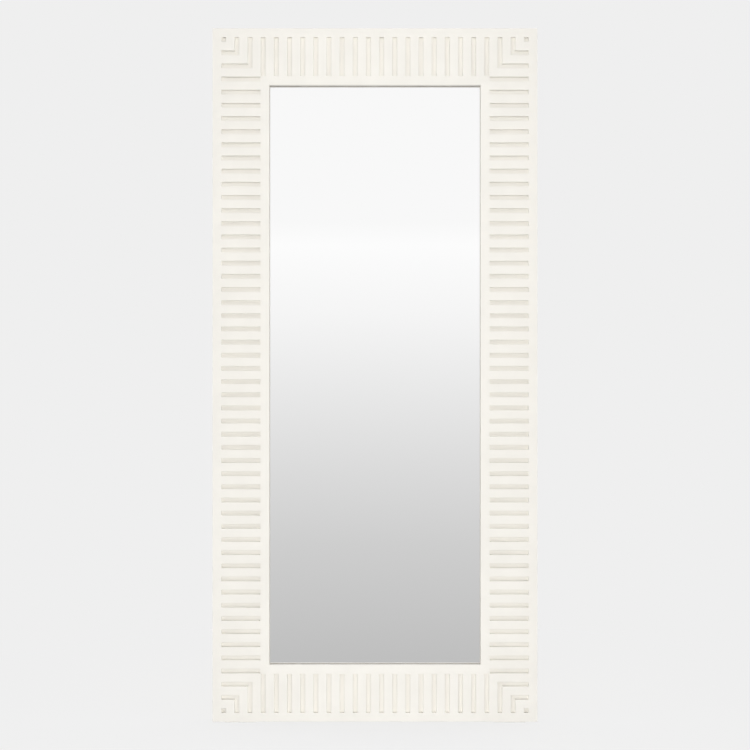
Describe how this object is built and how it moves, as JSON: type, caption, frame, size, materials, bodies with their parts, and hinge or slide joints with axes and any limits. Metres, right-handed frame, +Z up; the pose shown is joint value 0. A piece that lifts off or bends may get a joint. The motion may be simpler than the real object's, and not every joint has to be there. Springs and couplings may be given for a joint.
{
  "type": "leaning floor mirror",
  "caption": "Full-length floor mirror in a wide white frame with a ribbed face and L-shaped corner grooves, to lean on or hang from a wall.",
  "frame": {"origin": "middle of the overall footprint, at the floor under the foot pads", "axes": "+X to the right seen from the front, +Y to the back (the glass faces -Y), +Z up"},
  "size_m": [0.938, 0.0452, 2.004],
  "materials": {
    "white_lacquered_mdf": "warm white sprayed satin lacquer",
    "beech_key": "bare planed",
    "poplar": "bare planed",
    "plywood": "bare sanded",
    "silvered_glass": "polished, silvered at the back",
    "black_foam_tape": "matte closed cell",
    "safety_film": "smooth satin",
    "white_foam": "matte foam",
    "neoprene": "matte",
    "zinc_plated_steel": "bright zinc plate",
    "black_rubber": "matte moulded",
    "grey_rubber": "matte"
  },
  "bodies": {
    "root": {"back_rail_bottom": "poplar", "back_rail_top": "poplar", "back_stile_left": "poplar", "back_stile_right": "poplar", "backing_board": "plywood", "bumper_bottom_left": "black_rubber", "bumper_bottom_right": "black_rubber", "bumper_top_left": "black_rubber", "bumper_top_right": "black_rubber", "button_screw_left_bottom": "zinc_plated_steel", "button_screw_left_middle": "zinc_plated_steel", "button_screw_left_top": "zinc_plated_steel", "button_screw_right_bottom": "zinc_plated_steel", "button_screw_right_middle": "zinc_plated_steel", "button_screw_right_top": "zinc_plated_steel", "corner_plate_bottom_left": "zinc_plated_steel", "corner_plate_bottom_right": "zinc_plated_steel", "corner_plate_top_left": "zinc_plated_steel", "corner_plate_top_right": "zinc_plated_steel", "face_rail_bottom": "white_lacquered_mdf", "face_rail_top": "white_lacquered_mdf", "face_stile_left": "white_lacquered_mdf", "face_stile_right": "white_lacquered_mdf", "foam_sheet": "white_foam", "foot_pad_left": "grey_rubber", "foot_pad_right": "grey_rubber", "glazing_tape_bottom": "black_foam_tape", "glazing_tape_left": "black_foam_tape", "glazing_tape_right": "black_foam_tape", "glazing_tape_top": "black_foam_tape", "hanger_screw_left_1": "zinc_plated_steel", "hanger_screw_left_2": "zinc_plated_steel", "hanger_screw_left_3": "zinc_plated_steel", "hanger_screw_right_1": "zinc_plated_steel", "hanger_screw_right_2": "zinc_plated_steel", "hanger_screw_right_3": "zinc_plated_steel", "hanger_strap_left": "zinc_plated_steel", "hanger_strap_right": "zinc_plated_steel", "mirror_glass": "silvered_glass", "mitre_key_bottom_left": "beech_key", "mitre_key_bottom_right": "beech_key", "mitre_key_top_left": "beech_key", "mitre_key_top_right": "beech_key", "safety_film": "safety_film", "setting_block_left": "neoprene", "setting_block_right": "neoprene", "side_block_left_lower": "neoprene", "side_block_left_upper": "neoprene", "side_block_right_lower": "neoprene", "side_block_right_upper": "neoprene"},
    "ring_left": {"hanger_ring_left": "zinc_plated_steel"},
    "ring_right": {"hanger_ring_right": "zinc_plated_steel"},
    "button_left_top": {"turn_button_left_top": "zinc_plated_steel"},
    "button_left_middle": {"turn_button_left_middle": "zinc_plated_steel"},
    "button_left_bottom": {"turn_button_left_bottom": "zinc_plated_steel"},
    "button_right_top": {"turn_button_right_top": "zinc_plated_steel"},
    "button_right_middle": {"turn_button_right_middle": "zinc_plated_steel"},
    "button_right_bottom": {"turn_button_right_bottom": "zinc_plated_steel"}
  },
  "joints": [
    {"name": "ring_left_swing", "type": "hinge", "parent": "root", "child": "ring_left", "pos_m": [-0.3945, 0.01825, 1.564], "axis": [1, 0, 0], "range_deg": [0, 180]},
    {"name": "ring_right_swing", "type": "hinge", "parent": "root", "child": "ring_right", "pos_m": [0.3945, 0.01825, 1.564], "axis": [1, 0, 0], "range_deg": [0, 180]},
    {"name": "button_left_top_turn", "type": "hinge", "parent": "root", "child": "button_left_top", "pos_m": [-0.332, 0.0155, 1.705], "axis": [0, 1, 0], "continuous": true},
    {"name": "button_left_middle_turn", "type": "hinge", "parent": "root", "child": "button_left_middle", "pos_m": [-0.332, 0.0155, 1.003], "axis": [0, 1, 0], "continuous": true},
    {"name": "button_left_bottom_turn", "type": "hinge", "parent": "root", "child": "button_left_bottom", "pos_m": [-0.332, 0.0155, 0.301], "axis": [0, 1, 0], "continuous": true},
    {"name": "button_right_top_turn", "type": "hinge", "parent": "root", "child": "button_right_top", "pos_m": [0.332, 0.0155, 1.705], "axis": [0, 1, 0], "continuous": true},
    {"name": "button_right_middle_turn", "type": "hinge", "parent": "root", "child": "button_right_middle", "pos_m": [0.332, 0.0155, 1.003], "axis": [0, 1, 0], "continuous": true},
    {"name": "button_right_bottom_turn", "type": "hinge", "parent": "root", "child": "button_right_bottom", "pos_m": [0.332, 0.0155, 0.301], "axis": [0, 1, 0], "continuous": true}
  ]
}
